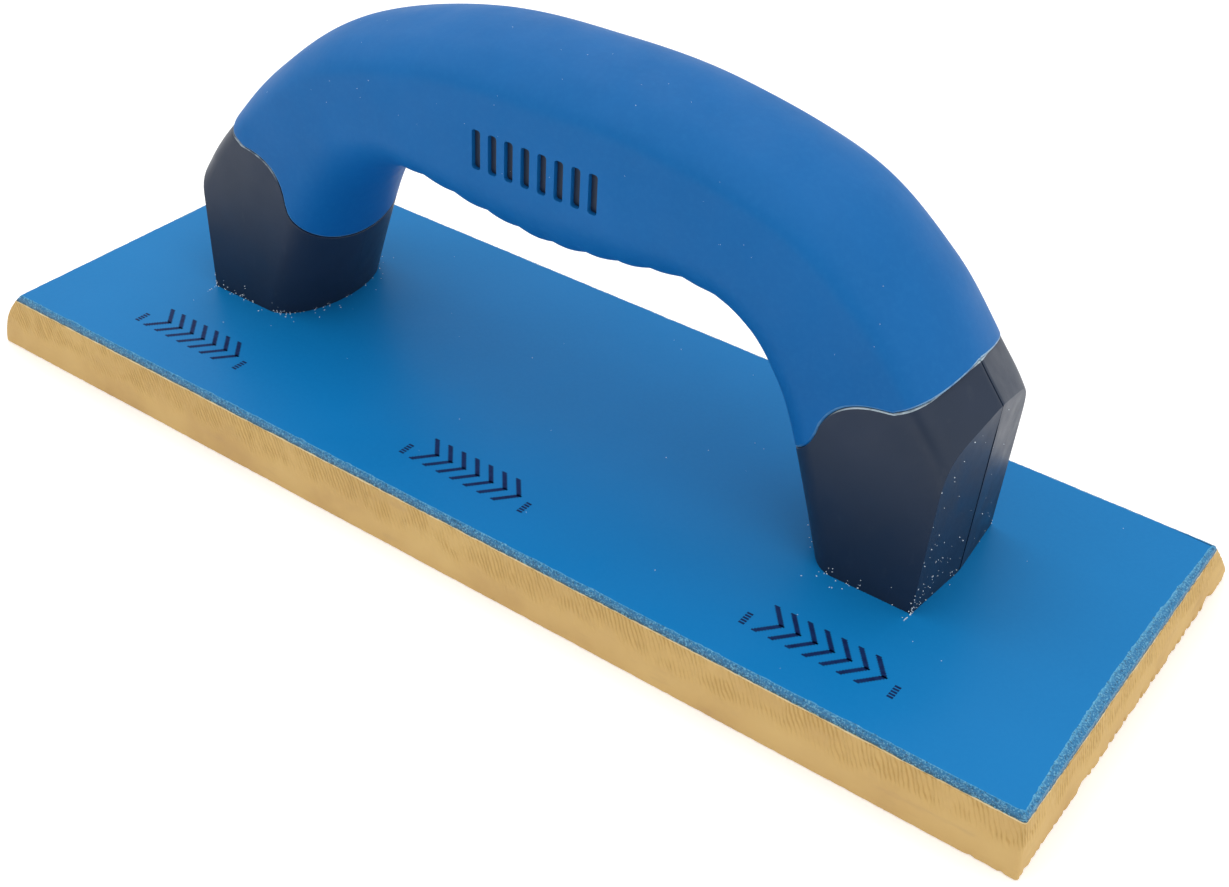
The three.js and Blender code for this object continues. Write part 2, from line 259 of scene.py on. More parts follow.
def section_point(around, span, half, rounding, crown, roof, softness):
    """Depth from the finger side and half width, for a place around half a section.

    around is 0 in the middle of the finger side, 1 where its rounding ends, 2 where the flat
    side ends, 2.5 past the soft shoulder and 3 on the ridge.
    """
    angle = np.clip(around, 0, 1) * math.pi / 2
    round_depth = rounding * (1 - np.cos(angle))
    round_side = half * np.sin(angle)

    flat_end = span - crown - SHOULDER_ON_SIDE
    flat_depth = lerp(rounding, flat_end, around - 1)

    first = SHOULDER_ON_CROWN / np.hypot(half, crown)
    crown_depth, crown_side = crown_point(first, span, half, crown, roof, softness)
    t = np.clip((around - 2) * 2, 0, 1)
    bend_depth = (1 - t) ** 2 * flat_end + 2 * t * (1 - t) * (span - crown) + t**2 * crown_depth
    bend_side = (1 - t**2) * half + t**2 * crown_side

    share = lerp(first, 1, np.clip((around - 2.5) * 2, 0, 1))
    top_depth, top_side = crown_point(share, span, half, crown, roof, softness)

    where = [around < 1, around < 2, around < 2.5]
    depth = np.select(where, [round_depth, flat_depth, bend_depth], top_depth)
    side = np.select(where, [round_side, half, bend_side], top_side)
    return depth, side


def rib_height(x, around):
    """How far the finger ribs stand out of the finger side."""
    from_middle = x - RIB_CENTRE
    wave = np.abs(np.sin(math.pi * from_middle / RIB_PITCH))
    reach = 1 - smoothstep(RIB_REACH - RIB_PITCH, RIB_REACH, np.abs(from_middle))
    return RIB_HEIGHT * wave * reach * (1 - smoothstep(0.55, 1, around))


def handle_points(along, around, inset, soft=False, ribs=0.0):
    """Points of half of the handle, as x, distance from the middle plane and z.

    along runs from the right foot to the left one, from 0 to 1. The soft grip has a rounder
    crown than the hard core, whose ridge is broken at the split between its halves.
    """
    along, around, inset = np.broadcast_arrays(along, around, inset)
    inner = spline(INNER_LINE, along)
    ridge = spline(RIDGE_LINE, along)
    full_span = np.linalg.norm(ridge - inner, axis=-1)
    across = (ridge - inner) / full_span[..., None]
    from_middle = np.abs(inner[..., 0])
    crown = lerp(CROWN_AT_MIDDLE, CROWN_AT_FEET, np.minimum(from_middle / CROWN_BLEND_X, 1))
    in_foot = smoothstep(*ROUNDING_BLEND_X, from_middle)
    rounding = lerp(GRIP_INNER_ROUNDING, FOOT_INNER_ROUNDING, in_foot)
    span = full_span - 2 * inset
    half = HALF_WIDTH - inset
    if soft:
        roof = GRIP_ROOF * smoothstep(FEET_BEGIN, FEET_FULL, from_middle)
        depth, side = section_point(around, span, half, rounding, crown, roof, GRIP_RIDGE_SOFTNESS)
    else:
        depth, side = section_point(around, span, half, rounding, crown, 1.0, FOOT_RIDGE_SOFTNESS)
        near_seam = np.clip(1 - side / SEAM_ROUNDING, 0, 1)
        sink = SEAM_ROUNDING * (1 - np.sqrt(1 - near_seam**2))
        depth = np.where(around > 2, depth - sink, depth)
    depth = depth + inset
    x = inner[..., 0] + across[..., 0] * depth
    depth = depth - ribs * rib_height(x, around)
    place = inner + across * depth[..., None]
    return np.stack([place[..., 0], side, place[..., 1]], axis=-1)


def grip_edge_line():
    """The soft grip's lower edge seen from the side, by rising X."""
    throat = [(40, 29), (56, 33.8), (62, 40.2)]
    t = np.linspace(0, 1, 17)[:, None]
    corners = [np.array(p) for p in [(63.5, 42.5), (64.6, 51.5), (72, 53.4), (77.3, 53.9)]]
    bend = (
        (1 - t) ** 3 * corners[0]
        + 3 * t * (1 - t) ** 2 * corners[1]
        + 3 * t**2 * (1 - t) * corners[2]
        + t**3 * corners[3]
    )
    return np.concatenate([throat, bend, [(82.2, 57.1), (85.1, 60.2), (95, 70.5)]])


def grip_entry(around):
    """Share of the arch where each line along the handle passes under the grip's edge."""
    edge = grip_edge_line()
    along = np.linspace(0, 0.5, 500)
    points = handle_points(along[:, None], around[None, :], 0.0)
    above = points[..., 2] - np.interp(points[..., 0], edge[:, 0], edge[:, 1])
    after = np.argmax(above > 0, axis=0)
    columns = np.arange(len(around))
    low = above[after - 1, columns]
    high = above[after, columns]
    return lerp(along[after - 1], along[after], low / (low - high))


# Places round half a section, closer together where it curves. ENTRY is the share of the arch at
# which each one's line passes under the grip's edge, and SHARE_PER_MM what a millimetre is there.
AROUND = np.concatenate(
    [
        np.linspace(0, 1, 20, endpoint=False),
        np.linspace(1, 2, 18, endpoint=False),
        np.linspace(2, 2.5, 8, endpoint=False),
        3 - 0.5 * np.linspace(1, 0, 14) ** 1.6,
    ]
)
ENTRY = grip_entry(AROUND)
STEP = 0.002
AHEAD = handle_points(ENTRY + STEP, AROUND, 0.0)
BEHIND = handle_points(ENTRY - STEP, AROUND, 0.0)
SHARE_PER_MM = 2 * STEP / np.linalg.norm(AHEAD - BEHIND, axis=-1)


def lip_rows(radius, outward):
    """Rows of (share of the arch, inset) round an edge at the grip's entry, onto its face."""
    rows = []
    for degrees in LIP_DEGREES:
        angle = math.radians(degrees)
        back = radius * (1 - math.sin(angle)) * SHARE_PER_MM
        rows.append((ENTRY + outward * back, radius * (1 - math.cos(angle))))
    return rows


def mirror_rows(rows):
    return [(1 - along, inset) for along, inset in reversed(rows)]


def evenly(first, last, count, inset):
    return [(lerp(first, last, t), inset) for t in np.linspace(0, 1, count)]


# ---- Pieces --------------------------------------------------------------------------------------


def mark_lip(body, first_row, bands, columns):
    """Gives the second material to some bands of a grid's faces, for a moulded edge."""
    body.faces.ensure_lookup_table()
    for face in body.faces[first_row * columns:(first_row + bands) * columns]:
        face.material_index = 1


def grip_line(along, inset):
    """A line of points round half of the grip, with ribs where it is the outer face."""
    ribs = 1.0 if inset < RIBBED_INSET else 0.0
    return handle_points(along, AROUND, inset, soft=True, ribs=ribs)


def soft_grip(materials):
    """The grip as a closed thick sleeve with rounded lips and slots through its front."""
    lip = lip_rows(LIP_RADIUS, 1)
    start = lip[0][0]
    outer = evenly(start, 1 - start, GRIP_ROWS, 0.0)[1:-1]
    bed = evenly(1 - ENTRY, ENTRY, GRIP_BED_ROWS, GRIP_THICKNESS - GAP)
    rows = outer + mirror_rows(lip[::-1]) + bed + lip[::-1]
    half = np.stack([grip_line(along, inset) for along, inset in rows])
    front = half * (1, -1, 1)
    back = half[:, -2:0:-1]
    ring = np.concatenate([front, back], axis=1) + (0, HANDLE_Y, 0)
    body = body_from_grid(ring, close_rows=True)
    columns = ring.shape[1]
    mark_lip(body, len(outer), LIP_BANDS - 1, columns)
    mark_lip(body, len(rows) - LIP_BANDS, LIP_BANDS - 1, columns)
    piece = finish_piece("soft_grip_sleeve", body, materials)
    cut_slots(piece)
    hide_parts("soft_grip")


def rounded_bar(body, centre, width, height, depth, corner):
    """Adds an upright bar with rounded corners that runs along Y."""
    outline = []
    for sign_x, sign_z, start in ((1, 1, 0), (-1, 1, 90), (-1, -1, 180), (1, -1, 270)):
        for degrees in (0, 30, 60, 90):
            angle = math.radians(start + degrees)
            x = sign_x * (width / 2 - corner) + corner * math.cos(angle)
            z = sign_z * (height / 2 - corner) + corner * math.sin(angle)
            outline.append((x, z))
    verts = []
    for y in (-depth / 2, depth / 2):
        ring = [(centre[0] + x, centre[1] + y, centre[2] + z) for x, z in outline]
        verts.append([body.verts.new(Vector(place) * MM) for place in ring])
    count = len(outline)
    for i in range(count):
        j = (i + 1) % count
        body.faces.new((verts[0][i], verts[0][j], verts[1][j], verts[1][i]))
    body.faces.new(verts[0])
    body.faces.new(verts[1])


def front_bars(body, clearance, near, far):
    """Bars in the grip's slots, less a clearance, between two distances from the middle plane."""
    width = SLOT_WIDTH - 2 * clearance
    height = SLOT_HEIGHT - 2 * clearance
    for i in range(SLOT_COUNT):
        x = SLOT_CENTRE_X + (i - (SLOT_COUNT - 1) / 2) * SLOT_PITCH
        centre = (x, HANDLE_Y - (near + far) / 2, SLOT_CENTRE_Z)
        rounded_bar(body, centre, width, height, far - near, SLOT_CORNER - clearance)


def cut_slots(piece):
    """Cuts the slots through the front of the grip, from well inside it to well outside."""
    body = bmesh.new()
    front_bars(body, 0, HALF_WIDTH / 2, HALF_WIDTH * 1.5)
    bmesh.ops.recalc_face_normals(body, faces=body.faces)
    mesh = bpy.data.meshes.new("slot_cutter")
    body.to_mesh(mesh)
    body.free()
    cutter = bpy.data.objects.new("slot_cutter", mesh)
    bpy.context.scene.collection.objects.link(cutter)
    cut = piece.modifiers.new("slots", "BOOLEAN")
    cut.object = cutter
    cut.solver = "EXACT"
    bpy.context.view_layer.update()
    evaluated = piece.evaluated_get(bpy.context.evaluated_depsgraph_get())
    result = bpy.data.meshes.new_from_object(evaluated)
    piece.modifiers.clear()
    piece.data = result
    result.set_sharp_from_angle(angle=math.radians(SMOOTH_DEGREES))
    bpy.data.objects.remove(cutter)


def end_plane(direction, side):
    """A point and the outward normal of the plane that trims one half of a foot's end."""
    seam = Vector((direction * FOOT_END_X, HANDLE_Y, DEPTH))
    up = Vector((direction * END_LEAN, 0, 1))
    out = Vector((-direction * END_PROW, side * HALF_WIDTH, 0))
    normal = up.cross(out)
    if normal.x * direction < 0:
        normal.negate()
    return seam * MM, normal.normalized()


def trim_end(body, place, normal):
    """Cuts off what lies past a plane and closes the cut."""
    everything = body.verts[:] + body.edges[:] + body.faces[:]
    cut = bmesh.ops.bisect_plane(
        body, geom=everything, plane_co=place, plane_no=normal, clear_outer=True
    )
    rim = [item for item in cut["geom_cut"] if isinstance(item, bmesh.types.BMEdge)]
    bmesh.ops.edgeloop_fill(body, edges=rim)


def core_shell(name, side, node, materials):
    """One half of the hard core: a full-size foot at each end and a bed under the grip."""
    lip = [(along - LIP_GAP * SHARE_PER_MM, inset) for along, inset in lip_rows(FOOT_LIP_RADIUS, -1)]
    foot = evenly(np.zeros_like(ENTRY), lip[0][0], FOOT_ROWS, 0.0)[:-1] + lip
    bed = evenly(ENTRY, 1 - ENTRY, CORE_BED_ROWS, GRIP_THICKNESS)
    rows = foot + bed + mirror_rows(foot)
    half = np.stack([handle_points(along, AROUND, inset) for along, inset in rows])
    narrowing = smoothstep(*SEAM_NARROWS, half[..., 2])
    seam = np.where(AROUND > 2, lerp(SEAM_GAP, CROWN_SEAM_GAP, narrowing) / 2, CLOSED_SEAM)
    half[..., 1] = side * np.maximum(half[..., 1], seam)
    body = body_from_grid(half + (0, HANDLE_Y, 0), close_rows=False)
    mark_lip(body, len(foot) - len(lip), LIP_BANDS, len(AROUND))
    mark_lip(body, len(rows) - len(foot), LIP_BANDS, len(AROUND))
    for direction in (-1, 1):
        trim_end(body, *end_plane(direction, side))
    bmesh.ops.remove_doubles(body, verts=body.verts, dist=WELD * MM)
    if side < 0:
        bar_root = HALF_WIDTH - GRIP_THICKNESS - BAR_SUNK
        front_bars(body, BAR_CLEARANCE, bar_root, HALF_WIDTH - SLOT_DEPTH)
    mark_soft_edges(body, SOFT_EDGE_DEGREES)
    piece = finish_piece(name, body, materials, CORE_SMOOTH_DEGREES)
    soften_edges(piece, EDGE_BEVEL)
    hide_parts(node)


def setback(run, bulge, z):
    """How far a bevelled side stands back at a height."""
    down = 1 - z / DEPTH
    return run * (1 - down - bulge * math.sin(math.pi * down))


def outline_at(z, spacing, corner):
    """Points and outward directions round the float at a height, as many at every height."""
    left = -PAD_LENGTH / 2 + setback(LEFT_BEVEL, LEFT_BULGE, z)
    right = PAD_LENGTH / 2 - setback(RIGHT_BEVEL, 0, z)
    far = PAD_WIDTH / 2 - setback(FAR_BEVEL, FAR_BULGE, z)
    near = -PAD_WIDTH / 2
    sides = [
        ((left, near), (right, near), PAD_LENGTH),
        ((right, near), (right, far), PAD_WIDTH),
        ((right, far), (left, far), PAD_LENGTH),
        ((left, far), (left, near), PAD_WIDTH),
    ]
    places = []
    for begin, end, nominal in sides:
        begin = Vector(begin)
        end = Vector(end)
        ahead = (end - begin).normalized()
        out = Vector((ahead.y, -ahead.x))
        count = round(nominal / spacing)
        for i in range(count + 1):
            place = (begin + ahead * corner).lerp(end - ahead * corner, i / count)
            places.append((place, out))
        for degrees in (30, 60):
            turn = Matrix.Rotation(math.radians(degrees), 2)
            turned = turn @ out
            centre = end - ahead * corner - out * corner
            places.append((centre + turned * corner, turned))
    return places


def slab(name, heights, spacing, offset, materials):
    """A flat layer with sides that follow the float's bevels. offset(x, y, z) moves them out."""
    rows = []
    for z in heights:
        row = []
        for place, out in outline_at(z, spacing, CORNER_RADIUS):
            moved = place + out * offset(place.x, place.y, z)
            row.append((moved.x, moved.y, z))
        rows.append(row)
    body = body_from_grid(np.array(rows), close_rows=False)
    body.faces.ensure_lookup_table()
    for face in body.faces[:-2]:
        face.material_index = 1
    return finish_piece(name, body, materials)


CHATTER_DEPTH = 0.22         # of the saw marks on the rubber
CHATTER_BOTTOM = 4           # height from which they deepen
CHATTER_FADE = 4             # height over which they do so
TORN_HEIGHT = 2
RIGHT_END_DEPTH = 2.5        # how far in from the right end counts as part of it
PAD_SETBACK = 0.05           # how far the worn sides stand behind the true ones
PLATE_SETBACK = 0.12
GLUE_SETBACK = 0.1


def bumps(x, y, z, size, seed):
    """Smooth noise from -1 to 1 with features of about the given size."""
    return noise.noise(Vector((x / size + seed, y / size, z / size)))


def pad_surface(x, y, z):
    """Cut and worn sides of the rubber: chatter, soft waves and a torn bottom edge."""
    lean = 0.5 * z
    chatter = bumps(x - lean, y - lean, z * 0.3, size=1.1, seed=3) * CHATTER_DEPTH
    sawn = min(1.0, max(0.1, (z - CHATTER_BOTTOM) / CHATTER_FADE))
    waves = bumps(x, y, z * 2, size=22, seed=7) * 0.06
    rounding = -0.2 * max(0.0, 1 - z / 0.4) ** 2
    low = max(0.0, 1 - z / TORN_HEIGHT)
    wide_notches = max(0.0, bumps(x, y, 0, size=5, seed=19)) * 1.6
    fine_notches = max(0.0, bumps(x, y, 0, size=1.3, seed=21)) * 3
    at_right_end = max(0.0, min(1.0, (x - 112) / 8)) * max(0.25, min(1.0, (y + 40) / 30))
    torn = -low * (wide_notches + fine_notches) * (0.05 + 0.95 * at_right_end)
    return chatter * sawn + waves + rounding + torn - PAD_SETBACK


def plate_surface(x, y, z):
    """Sawn edge of the plate: rough, with a frayed top corner that is widest at the right end."""
    ragged = bumps(x, y, 0, size=6, seed=41) + 0.6 * bumps(x, y, 0, size=0.9, seed=43)
    fray = 0.3 + 0.4 * max(0.0, ragged)
    if x > PAD_LENGTH / 2 - RIGHT_END_DEPTH:
        fray += MARGIN_WIDTH * max(0.0, 1 - ((y - MARGIN_MIDDLE) / MARGIN_REACH) ** 2)
        fray += 0.3 * max(0.0, bumps(x, y, 0, size=0.9, seed=47))
    rounding = -fray * max(0.0, (z - FRAY_BOTTOM) / (DEPTH - FRAY_BOTTOM)) ** 1.5
    fine_rough = bumps(x, y, z * 1.5, size=0.8, seed=23) * 0.15
    rough = fine_rough + bumps(x, y, z, size=5, seed=29) * 0.1
    return rounding + rough * min(1.0, (DEPTH - z) / 0.3) - PLATE_SETBACK


def glue_surface(x, y, z):
    """Uneven edge of the adhesive, a little behind its neighbours."""
    lumps = bumps(x, y, z, size=6, seed=31) * 0.1
    return lumps + bumps(x, y, z, size=1.2, seed=37) * 0.08 - GLUE_SETBACK


def flat_layers(rubber, glue, plate):
    """The rubber, the adhesive and the plate, each with rows where its side has detail."""
    torn_heights = [0, 0.15, 0.3, 0.5, 0.8, 1.2, 1.6]
    plain_heights = [2.4, 3.4, 4.4, 5.4]
    chatter_heights = [6.2, 7, 7.8, 8.6, 9.4, 10.2, 11, 11.8, PAD_TOP]
    pad_heights = torn_heights + plain_heights + chatter_heights
    pad = slab("pad_foam_rubber", pad_heights, FINE_STEP, pad_surface, rubber)
    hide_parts("rubber_pad")
    glue_heights = [PAD_TOP, PAD_TOP + 0.1, PAD_TOP + 0.2, PLATE_BOTTOM]
    bead = slab("adhesive_bead", glue_heights, COARSE_STEP, glue_surface, glue)
    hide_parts("adhesive_layer")
    sawn_heights = [PLATE_BOTTOM, 13.25, 13.5, 13.8, 14.1, 14.4]
    plate_heights = sawn_heights + [FRAY_BOTTOM, 14.75, 14.88, 14.96, DEPTH]
    top = slab("plate_laminate_sheet", plate_heights, FINE_STEP, plate_surface, plate)
    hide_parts("backing_plate")


# ---- Printed marks and dust ----------------------------------------------------------------------

PRINT_CENTRES = (-75, 0.6, 79.5)
PRINT_NEAR_Y = -39.6
PRINT_HEIGHT = 7.8
PRINT_BLOCK_X = 14.7
CHEVRON_COUNT = 7
CHEVRON_PITCH = 3.4
CHEVRON_WIDTH = 3.2
INK_THICKNESS = 0.03
INK_SUNK = 0.005
DOT = 0.68
BLOCK_BARS = 5
BLOCK_BAR = (1.2, 0.46)
BLOCK_BAR_PITCH = 0.72
BLOCK_RAISED = 0.3

FIRST_SPAN_HEIGHT = 16       # how far the arch's first span climbs, on average
CRUMB_CLUSTERS = {-1: 20, 1: 14}         # at the left foot and at the right one
CRUMB_SPREAD = 1.1
CRUMB_HIGHEST = 5
CLUSTER_CRUMB = (0.09, 0.19)             # smallest and largest sizes
END_FACE_CRUMB = (0.06, 0.17)
PLATE_CRUMB = (0.05, 0.12)
GRIP_CRUMB = (0.04, 0.09)
END_FACE_CRUMBS = 80
PLATE_CRUMBS = 40
GRIP_CRUMBS = 45


def ink_dot(body, x, y, width, depth):
    """A flat printed dot on the plate."""
    bottom = DEPTH - INK_SUNK
    corners = [(-1, -1), (1, -1), (1, 1), (-1, 1)]
    places = [(x + a * width / 2, y + b * depth / 2, bottom) for a, b in corners]
    low = [body.verts.new(Vector(place) * MM) for place in places]
    high = [body.verts.new(v.co + Vector((0, 0, INK_THICKNESS)) * MM) for v in low]
    body.faces.new(low)
    body.faces.new(high)
    for i in range(4):
        j = (i + 1) % 4
        body.faces.new((low[i], low[j], high[j], high[i]))


def ink_line(body, start, end):
    """A printed line made of overlapping dots."""
    start = Vector(start)
    end = Vector(end)
    count = round((end - start).length / (DOT * 0.8))
    for i in range(count + 1):
        place = start.lerp(end, i / count)
        ink_dot(body, place.x, place.y, DOT * 1.7, DOT * 0.62)


def printed_marks(materials):
    """Three rows of dotted chevrons along the near edge, each between two small blocks."""
    body = bmesh.new()
    for centre in PRINT_CENTRES:
        for index in range(CHEVRON_COUNT):
            left = centre + (index - CHEVRON_COUNT / 2) * CHEVRON_PITCH
            point = (left + CHEVRON_WIDTH, PRINT_NEAR_Y + PRINT_HEIGHT / 2)
            ink_line(body, (left, PRINT_NEAR_Y), point)
            ink_line(body, (left, PRINT_NEAR_Y + PRINT_HEIGHT), point)
        for end in (-PRINT_BLOCK_X, PRINT_BLOCK_X):
            for row in range(BLOCK_BARS):
                y = PRINT_NEAR_Y + BLOCK_RAISED + row * BLOCK_BAR_PITCH
                ink_dot(body, centre + end, y, *BLOCK_BAR)
    finish_piece("printed_marks", body, materials)


def speck(body, centre, size, rng):
    """A small irregular crumb."""
    corners = [(1, 0, 0), (0, 1, 0), (-1, 0, 0), (0, -1, 0), (0, 0, 1), (0, 0, -1)]
    verts = []
    for corner in corners:
        stretch = size * rng.uniform(0.6, 1.3)
        verts.append(body.verts.new((Vector(centre) + Vector(corner) * stretch) * MM))
    for i in range(4):
        j = (i + 1) % 4
        body.faces.new((verts[i], verts[j], verts[4]))
        body.faces.new((verts[j], verts[i], verts[5]))


def foot_place(foot, side, around, up, out):
    """A place at a height on the wall of a foot, or further out than the wall."""
    along = up / FIRST_SPAN_HEIGHT / (len(ARCH) - 1)
    x, across, _z = handle_points(along, around, -out)
    end = FOOT_END_X + END_LEAN * up - END_PROW * across / HALF_WIDTH
    return foot * min(x, end), HANDLE_Y + side * across, DEPTH + up


def crumb_cluster(body, foot, side, rng):
    """One loose cluster, partly on a foot's wall and partly on the plate before it."""
    middle = rng.uniform(0, 2.1)
    for _ in range(rng.randrange(1, 6)):
        around = min(max(middle + rng.gauss(0, 0.09), 0.0), 2.2)
        on_plate = rng.random() < 0.4
        away = rng.expovariate(1 / CRUMB_SPREAD)
        up = 0.0 if on_plate else min(away, CRUMB_HIGHEST)
        out = away if on_plate else 0.0
        place = foot_place(foot, side, around, up, out)
        speck(body, place, rng.uniform(*CLUSTER_CRUMB), rng)


def crumbs_on_end_face(body, rng):
    """Crumbs on the right foot's outer end, most of them low down and towards the front."""
    for _ in range(END_FACE_CRUMBS):
        up = min(rng.expovariate(1 / 9), 34)
        across = rng.triangular(-HALF_WIDTH, HALF_WIDTH, HALF_WIDTH)
        x = FOOT_END_X + END_LEAN * up - END_PROW * abs(across) / HALF_WIDTH
        speck(body, (x, HANDLE_Y - across, DEPTH + up), rng.uniform(*END_FACE_CRUMB), rng)


def crumbs_on_plate(body, rng):
    """Single crumbs strewn over the plate."""
    for _ in range(PLATE_CRUMBS):
        x = rng.uniform(-110, 118)
        y = rng.uniform(-46, 32)
        size = rng.uniform(*PLATE_CRUMB)
        speck(body, (x, y, DEPTH + size * 0.4), size, rng)


def crumbs_on_grip(body, rng):
    """Very small crumbs on the front and crown of the grip."""
    for _ in range(GRIP_CRUMBS):
        along = rng.uniform(0.25, 0.75)
        x, across, z = handle_points(along, rng.uniform(1.2, 2.9), 0.0, soft=True)
        speck(body, (x, HANDLE_Y - across, z), rng.uniform(*GRIP_CRUMB), rng)


def dust(materials):
    """Crumbs of dry grout: clusters round the feet, twice as many in front, and single ones."""
    rng = random.Random(5)
    body = bmesh.new()
    for foot, clusters in CRUMB_CLUSTERS.items():
        for side in (-1, -1, 1):
            for _ in range(clusters):
                crumb_cluster(body, foot, side, rng)
    crumbs_on_end_face(body, rng)
    crumbs_on_plate(body, rng)
    crumbs_on_grip(body, rng)
    finish_piece("grout_crumbs", body, materials)


# ---- Materials -----------------------------------------------------------------------------------


SOCKET_NAMES = {
    "roughness": "Roughness",
    "metallic": "Metallic",
    "specular": "Specular IOR Level",
}


def new_material(name, **sockets):
    made = bpy.data.materials.new(name)
    made.use_nodes = True
    shader = made.node_tree.nodes["Principled BSDF"]
    for key, value in sockets.items():
        shader.inputs[SOCKET_NAMES[key]].default_value = value
    return made


def add(made, kind, inputs, output=0, **settings):
    """Adds a node with its inputs set or linked, and returns one of its outputs."""
    node = made.node_tree.nodes.new(kind)
    for key, value in settings.items():
        setattr(node, key, value)
    for key, value in inputs.items():
        if isinstance(value, bpy.types.NodeSocket):
            made.node_tree.links.new(value, node.inputs[key])
        else:
            node.inputs[key].default_value = value
    return node.outputs[output]


def attach(made, socket, value):
    shader = made.node_tree.nodes["Principled BSDF"]
    made.node_tree.links.new(value, shader.inputs[socket])


def stretched_place(made, stretch, turn=(0, 0, 0)):
    """Object coordinates, stretched along the axes."""
    place = add(made, "ShaderNodeTexCoord", {}, output=3)
    return add(made, "ShaderNodeMapping", {"Vector": place, "Scale": stretch, "Rotation": turn})


def speckle(made, size_mm, detail=3, stretch=(1, 1, 1), turn=(0, 0, 0), roughness=0.55):
    """A noise pattern whose features are about as large as the given size."""
    place = stretched_place(made, stretch, turn)
    inputs = {"Vector": place, "Scale": 1 / (size_mm * MM), "Detail": detail, "Roughness": roughness}
    return add(made, "ShaderNodeTexNoise", inputs)


def ramp(made, factor, stops):
    """A colour ramp from (place, colour) stops, where a colour may be one grey number."""
    node = made.node_tree.nodes.new("ShaderNodeValToRGB")
    made.node_tree.links.new(factor, node.inputs[0])
    elements = node.color_ramp.elements
    while len(elements) < len(stops):
        elements.new(0.5)
    for element, (place, colour) in zip(elements, stops):
        element.position = place
        grey = not isinstance(colour, tuple)
        element.color = (colour, colour, colour, 1) if grey else (*colour, 1)
    return node.outputs[0]


def mix(made, factor, first, second):
    node = made.node_tree.nodes.new("ShaderNodeMix")
    node.data_type = "RGBA"
    for index, value in ((0, factor), (6, first), (7, second)):
        if isinstance(value, bpy.types.NodeSocket):
            made.node_tree.links.new(value, node.inputs[index])
        elif isinstance(value, tuple):
            node.inputs[index].default_value = (*value, 1)
        else:
            node.inputs[index].default_value = value
    return node.outputs[2]


def object_height(made):
    """Height above the working face, in metres."""
    place = add(made, "ShaderNodeTexCoord", {}, output=3)
    return add(made, "ShaderNodeSeparateXYZ", {"Vector": place}, output=2)


def share_between(made, value, low, high):
    """0 up to one limit in millimetres, 1 from the other."""
    limits = {"Value": value, "From Min": low * MM, "From Max": high * MM}
    return add(made, "ShaderNodeMapRange", limits)


def bump(made, height, depth_mm, strength=1.0, under=None):
    inputs = {"Height": height, "Distance": depth_mm * MM, "Strength": strength}
    if under is not None:
        inputs["Normal"] = under
    return add(made, "ShaderNodeBump", inputs)


def plate_material():
    made = new_material("plate_blue", specular=0.12)
    tones = [(0.3, (0.003, 0.166, 0.43)), (0.7, (0.004, 0.18, 0.465))]
    cloud = ramp(made, speckle(made, 45, detail=2), tones)
    grains = ramp(made, speckle(made, 0.8, detail=5), [(0.35, 0.0), (0.75, 0.35)])
    attach(made, "Base Color", mix(made, grains, cloud, (0.006, 0.195, 0.48)))
    smudge = ramp(made, speckle(made, 18, detail=5, roughness=0.65), [(0.3, 0.30), (0.7, 0.44)])
    attach(made, "Roughness", smudge)
    scratches = speckle(made, 1.2, detail=4, stretch=(0.04, 1, 1))
    peel = bump(made, speckle(made, 0.5, detail=2), 0.01, 0.35)
    attach(made, "Normal", bump(made, scratches, 0.004, 0.4, under=peel))
    return made


def plate_edge_material():
    """Sawn laminate: painted glints and painted pit shade over blue, a pale painted highlight along the
    top corner and a dark one at the glue.
    """
    made = new_material("plate_sawn_edge", roughness=0.5, specular=0.3)
    level = share_between(made, object_height(made), PLATE_BOTTOM, DEPTH)
    # Darker at the glue; the top stops paint a pale highlight along the top corner.
    stops = [
        (0.0, (0.10, 0.13, 0.08)),
        (0.12, (0.012, 0.08, 0.14)),
        (0.4, (0.02, 0.15, 0.31)),
        (0.93, (0.022, 0.175, 0.37)),
        (1.0, (0.08, 0.34, 0.56)),
    ]
    base = ramp(made, level, stops)
    # Light speckles: painted glints.
    glints = ramp(made, speckle(made, 0.35, detail=3, roughness=0.6), [(0.52, 0.0), (0.62, 0.75)])
    lighter = mix(made, glints, base, (0.17, 0.44, 0.61))
    # Dark speckles: painted shade standing in for pits.
    painted_pit_shade = ramp(made, speckle(made, 0.45, detail=3, roughness=0.6), [(0.36, 0.85), (0.46, 0.0)])
    attach(made, "Base Color", mix(made, painted_pit_shade, lighter, (0.015, 0.08, 0.16)))
    attach(made, "Normal", bump(made, speckle(made, 0.35, detail=3), 0.15, 0.8))
    return made


SAW_WAVE_SCALE = 687.5       # of the saw marks on the rubber
SAWN_FROM = 8                # height where they begin to show
SAWN_FULLY = 12
SAW_LIMIT_WANDER = 8         # how far that height wanders along the side


def rubber_tone(made):
    """Mottled tan with browner smears."""
    tones = [(0.3, (0.53, 0.34, 0.135)), (0.5, (0.60, 0.40, 0.158)), (0.7, (0.63, 0.43, 0.172))]
    mottle = ramp(made, speckle(made, 14, detail=5, roughness=0.5), tones)
    smears = speckle(made, 6, detail=5, stretch=(0.5, 0.5, 2))
    smear = ramp(made, smears, [(0.58, 0.0), (0.72, 0.35)])
    return mix(made, smear, mottle, (0.45, 0.285, 0.14))


def sawn_share(made):
    """How strongly the rubber is sawn: in patches, and only high up on its sides."""
    wander = {0: speckle(made, 9, detail=3), 1: SAW_LIMIT_WANDER * MM, 2: object_height(made)}
    wandering = add(made, "ShaderNodeMath", wander, operation="MULTIPLY_ADD")
    high = share_between(made, wandering, SAWN_FROM, SAWN_FULLY)
    patches = ramp(made, speckle(made, 7, detail=3), [(0.35, 0.4), (0.55, 1.0)])
    return add(made, "ShaderNodeMath", {0: patches, 1: high}, operation="MULTIPLY")


